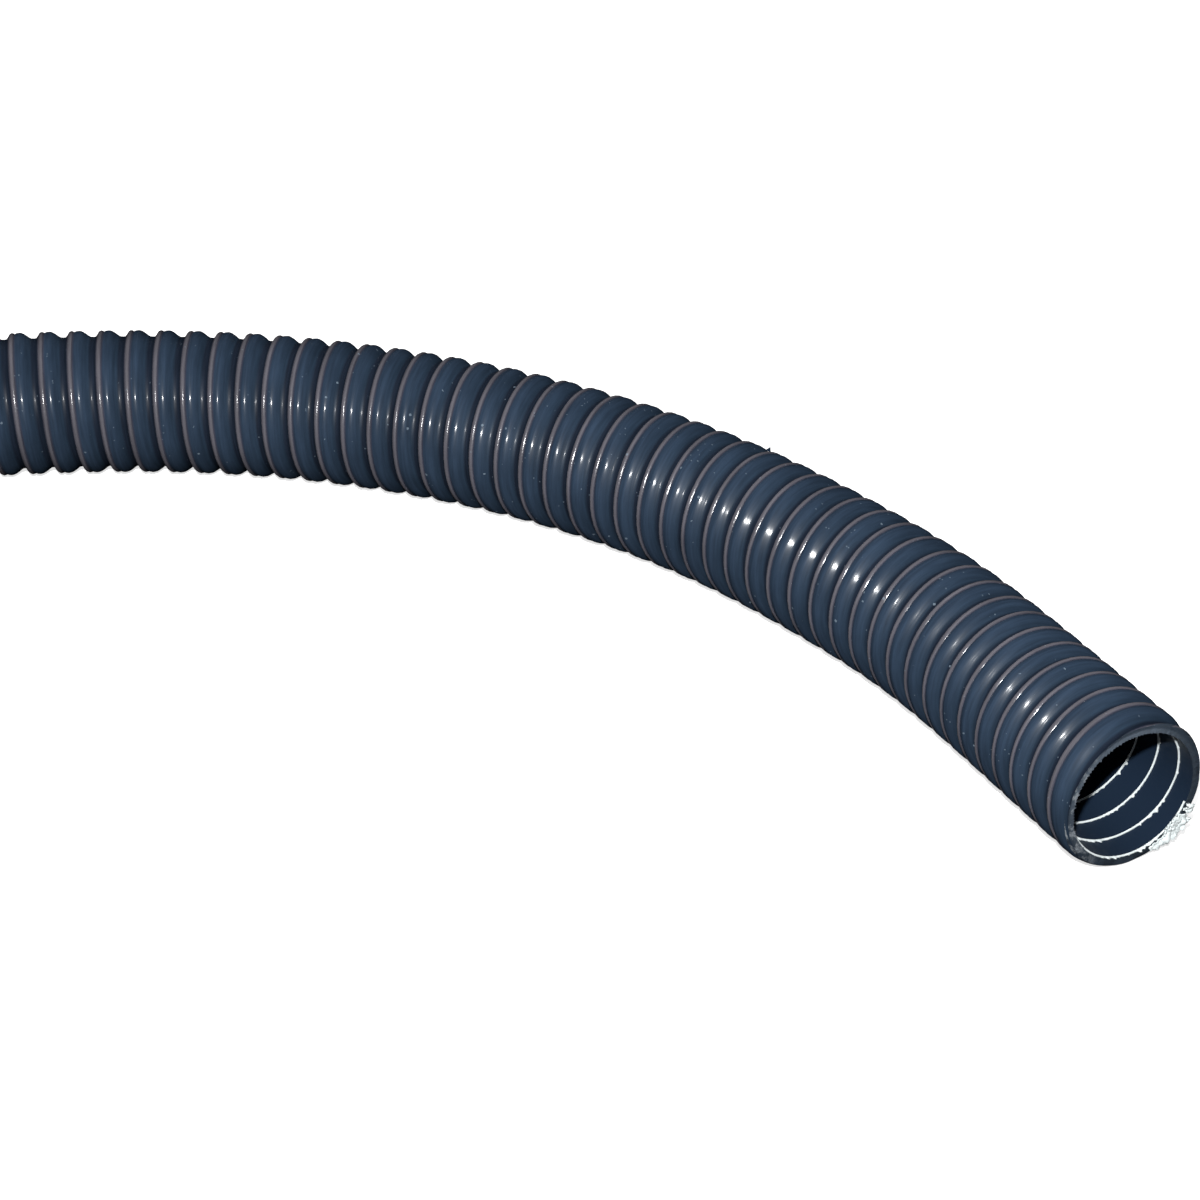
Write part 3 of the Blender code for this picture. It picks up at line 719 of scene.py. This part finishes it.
# Where the tears run: share of the way along the sheet, radius in mm
TORN_INNER_EDGE = (
    (0.0, 19.2), (0.12, 18.6), (0.17, 19.8), (0.24, 17.6), (0.58, 17.3), (0.70, 18.7), (1.0, 18.9),
)
TORN_OUTER_EDGE = (
    (0.0, 21.4), (0.12, 22.4), (0.17, 20.4), (0.24, 22.9), (0.58, 22.6), (0.72, 21.8), (1.0, 20.4),
)
TORN_THICKNESS = 0.0004


def spiral_place(turned):
    """How far along the hose the spiral's edge is. What would stand out of the sawn end lies on its rim."""
    return np.maximum(SPIRAL_TOP + RIB_PITCH * turned / math.tau, SPIRAL_LEAST_DEPTH)


def burr(step):
    """How far a torn burr reaches from the spiral's edge towards the opening."""
    fine = noise.noise(Vector((step * 0.35, 0.0, 5.0)))
    coarse = noise.noise(Vector((step * 0.04, 7.0, 0.0)))
    return 0.00012 + 0.0014 * max(0.0, fine * 0.9 + coarse * 0.8 - 0.10)


def make_spiral_edge():
    """The thin white edge of the spiral, a little proud of the bore and with burrs on one side."""
    first = round(SPIRAL_STEPS * TORN_START / math.tau)
    steps = np.arange(first, round(SPIRAL_TURNS * SPIRAL_STEPS))
    turned = math.tau * steps / SPIRAL_STEPS
    burrs = np.array([burr(step) for step in steps])
    sway = 0.00012 * np.array([noise.noise(Vector((step * 0.09, 1.0, 2.0))) for step in steps])
    middle = spiral_place(turned) + sway
    lines = []
    for along, reach, proud in SPIRAL_SECTION:
        radius = np.full(len(steps), BORE_RADIUS - proud / 1000)
        lines.append(on_hose(middle + along / 1000 - reach * burrs, turned, radius))
    points = np.stack(lines, axis=1).reshape(-1, 3)
    sides = len(SPIRAL_SECTION)
    faces = tube_faces(len(steps), sides)
    faces += [tuple(range(sides))[::-1], tuple(range(len(points) - sides, len(points)))]
    mesh = new_mesh("spiral_edge", points, faces)
    finish_mesh(mesh, rigid_material())
    edge = add_object("spiral_edge", mesh, slot="rigid_spiral")
    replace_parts(edge, "reinforcing_helix")


def torn_points():
    """The torn sheet's points, and for each whether it is left after the tearing."""
    places, kept = [], []
    for i in range(TORN_ALONG):
        share = i / (TORN_ALONG - 1)
        turned = TORN_START + share * (TORN_END - TORN_START)
        inner, outer = (np.interp(share, *zip(*edge)) for edge in (TORN_INNER_EDGE, TORN_OUTER_EDGE))
        for j in range(TORN_ACROSS):
            radius = TORN_INNER + TORN_WIDTH * j / (TORN_ACROSS - 1)
            spot = Vector((i * 0.18, j * 0.18, 0.0))
            ragged = 1.0 * noise.noise(spot * 1.3) + 0.6 * noise.noise(spot * 3.3)
            kept.append(inner < radius + ragged < outer)
            height = 0.5 + 1.6 * abs(noise.noise(spot * 0.4)) + 0.3 * noise.noise(spot * 1.2)
            places.append((max(0.1, height) / 1000, turned, radius / 1000))
    height, turned, radius = np.array(places).T
    return on_hose(-height, turned, radius), kept


def make_torn_end():
    """The spiral's torn white end, crumpled over the sawn face."""
    points, kept = torn_points()
    faces = []
    for i in range(TORN_ALONG - 1):
        for a in range(i * TORN_ACROSS, i * TORN_ACROSS + TORN_ACROSS - 1):
            face = (a, a + 1, a + TORN_ACROSS + 1, a + TORN_ACROSS)
            if all(kept[corner] for corner in face):
                faces.append(face)
    used = sorted({corner for face in faces for corner in face})
    number = {corner: i for i, corner in enumerate(used)}
    mesh = new_mesh("torn_end", points[used], [tuple(number[corner] for corner in face) for face in faces])
    finish_mesh(mesh, rigid_material())
    torn = add_object("torn_end", mesh, slot="rigid_spiral")
    solid = torn.modifiers.new("thickness", "SOLIDIFY")
    solid.thickness = TORN_THICKNESS
    solid.offset = 0.0


# ---------------------------------------------------------------- ties

TIE_ANGLES = (math.radians(84), math.radians(138))
STRAP_INNER = HOSE_RADIUS + STRAP_SLACK
STRAP_HALF_WIDTH = 0.0125
STRAP_ROUND_STEPS = 33
STRAP_CLOSING = 12.0  # the last stretch, back to the strap's start, in its UV
# The strap's outline: place across it in half widths, height in a share of its thickness
STRAP_SECTION = (
    (-1.0, 0.3), (-1.0, 0.7), (-0.97, 1.0), (0.97, 1.0), (1.0, 0.7), (1.0, 0.3), (0.97, 0.0), (-0.97, 0.0),
)
# Along the top, where the strap laps over itself: x in mm, share of the lap's thickness
STRAP_LAP = (
    (17.2, 0.0), (17.0, 1.0), (16.0, 1.0), (12.0, 1.0), (8.0, 1.0), (4.0, 1.0), (0.0, 1.0), (-4.0, 1.0),
    (-8.0, 1.0), (-12.0, 1.0), (-14.5, 1.0), (-15.5, 0.6), (-17.0, 0.0),
)
STITCH_PITCH = 0.0026
STITCH_SIZE = (0.0019, 0.0006, 0.0007)  # of a stitch that runs along the strap


def strap_round(centre, start):
    """Half a turn of the strap round one turn of the hose, as strap_line gives it."""
    angles = np.linspace(start, start + math.pi, STRAP_ROUND_STEPS)
    return [
        (centre + STRAP_INNER * math.cos(a), STRAP_INNER * math.sin(a), math.cos(a), math.sin(a), 0.0)
        for a in angles
    ]


def strap_line():
    """(x, y, outward x, outward y, lap's rise) round the strap, from the bottom right back to near it."""
    line = strap_round(COIL_PITCH / 2, -math.pi / 2)
    line += [(x / 1000, STRAP_INNER, 0.0, 1.0, share * STRAP_THICKNESS) for x, share in STRAP_LAP]
    line += strap_round(-COIL_PITCH / 2, math.pi / 2)
    line += [(x, -STRAP_INNER, 0.0, -1.0, 0.0) for x in (-0.012, 0.0, 0.012)]
    return line


def add_strap(shape):
    """The strap, standing round both turns of the hose, with its UV in millimetres."""
    layer = shape.loops.layers.uv.new("strap")
    line = strap_line()
    rings, places = [], []
    walked = 0.0
    for before, (x, y, out_x, out_y, rise) in zip([line[0], *line], line):
        walked += 1000 * math.dist((x, y), before[:2])
        places.append(walked)
        thickness = STRAP_THICKNESS + rise
        ring = []
        for side, height in STRAP_SECTION:
            reach = height * thickness
            ring.append(shape.verts.new((x + out_x * reach, y + out_y * reach, side * STRAP_HALF_WIDTH)))
        rings.append(ring)
    sides = [1000 * STRAP_HALF_WIDTH * side for side, _ in STRAP_SECTION]
    for i, ring in enumerate(rings):
        after = (i + 1) % len(rings)
        start, end = places[i], places[after] if after else places[i] + STRAP_CLOSING
        for j in range(len(ring)):
            k = (j + 1) % len(ring)
            face = shape.faces.new((ring[j], ring[k], rings[after][k], rings[after][j]))
            spots = ((start, sides[j]), (start, sides[k]), (end, sides[k]), (end, sides[j]))
            for loop, spot in zip(face.loops, spots):
                loop[layer].uv = spot


def add_stitches(shape):
    """Two rows of stitches across the lap and one along each of its edges: flattened beads of thread."""
    along, high, wide = STITCH_SIZE
    top = STRAP_INNER + 2 * STRAP_THICKNESS
    stitches = []
    for x in (0.0150, -0.0060):
        stitches += [((x, top, i * STITCH_PITCH), (wide, high, along)) for i in range(-4, 5)]
    for z in (-0.0108, 0.0108):
        stitches += [((0.0124 - i * STITCH_PITCH, top, z), (along, high, wide)) for i in range(7)]
    for middle, size in stitches:
        placing = Matrix.Translation(middle) @ Matrix.Diagonal((*size, 1.0))
        bmesh.ops.create_uvsphere(shape, u_segments=8, v_segments=6, radius=0.5, matrix=placing)


def make_tie(number, angle, material):
    """A strap round both turns of the coil, with its lap stitched at the free end."""
    shape = bmesh.new()
    add_strap(shape)
    add_stitches(shape)
    bmesh.ops.recalc_face_normals(shape, faces=shape.faces[:])
    mesh = bpy.data.meshes.new(f"tie_{number}")
    shape.to_mesh(mesh)
    shape.free()
    finish_mesh(mesh, material, sharp_over=50)
    middle = coil_radius((angle - COIL_START_ANGLE) % math.tau) - COIL_PITCH / 2
    place = (COIL_CENTRE[0] + middle * math.cos(angle), COIL_CENTRE[1] + middle * math.sin(angle), COIL_Z)
    upright = Matrix.Rotation(math.pi / 2, 4, "X")
    mesh.transform(Matrix.Translation(place) @ Matrix.Rotation(angle, 4, "Z") @ upright)
    tie = add_object(f"tie_{number}", mesh, slot="tie_webbing")
    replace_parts(tie, f"coil_tie_{number}")


# ---------------------------------------------------------------- the coupler and the clip

BAND_PLACE = 0.020  # behind the hose's stored end
BAND_STEPS = 288
BAND_STEPS_PER_SLOT = 4
BAND_SLOT_DEPTH = 0.00035
# Lines across the band: place in mm, radius
BAND_OUTSIDE = (
    (-6.0, 0.0234), (-5.7, 0.0236), (-3.9, 0.0236), (-3.6, 0.0236), (3.6, 0.0236), (3.9, 0.0236),
    (5.7, 0.0236), (6.0, 0.0234),
)
BAND_INSIDE = ((6.0, 0.0228), (-6.0, 0.0228))
BAND_SLOT_REACH = 3.7  # to each side of the middle, in mm


def make_band(material):
    """The clip's band, with the worm's slots pressed into it."""
    centre = CENTRELINE[-1] - (BAND_PLACE, 0.0, 0.0)
    points = []
    for i in range(BAND_STEPS):
        turned = math.tau * i / BAND_STEPS
        pressed = BAND_SLOT_DEPTH if i % BAND_STEPS_PER_SLOT in (1, 2) else 0.0
        ring = [(side, radius - pressed * (abs(side) < BAND_SLOT_REACH)) for side, radius in BAND_OUTSIDE]
        for side, radius in (*ring, *BAND_INSIDE):
            points.append(centre + (side / 1000, radius * math.cos(turned), radius * math.sin(turned)))
    faces = tube_faces(BAND_STEPS, len(BAND_OUTSIDE) + len(BAND_INSIDE), closed=True)
    mesh = new_mesh("band", points, faces)
    finish_mesh(mesh, material, sharp_over=35)
    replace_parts(add_object("band", mesh, slot="clip_steel"), "clip_band")


def paint(material, *nodes):
    """Puts the material on every slot of the frame's own nodes."""
    for name in nodes:
        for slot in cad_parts[name].material_slots:
            slot.material = material


def finish_coupler():
    paint(moulded_material("black_plastic", (0.020, 0.020, 0.022), 0.42), "hose_adapter", "dust_cap")
    paint(moulded_material("grey_plastic", (0.16, 0.17, 0.18), 0.45), "swivel_ring")
    paint(moulded_material("rubber", (0.014, 0.014, 0.014), 0.75, grain=0.5), "face_gasket", "cap_seal")
    steel = steel_material()
    paint(steel, "retaining_ring", "clip_housing", "clip_screw")
    make_band(steel)


# ---------------------------------------------------------------- build

make_camera()
make_floor()
make_lights()
hose = make_hose()
make_spiral_edge()
make_torn_end()
webbing = webbing_material()
for number, angle in enumerate(TIE_ANGLES, start=1):
    make_tie(number, angle, webbing)
finish_coupler()
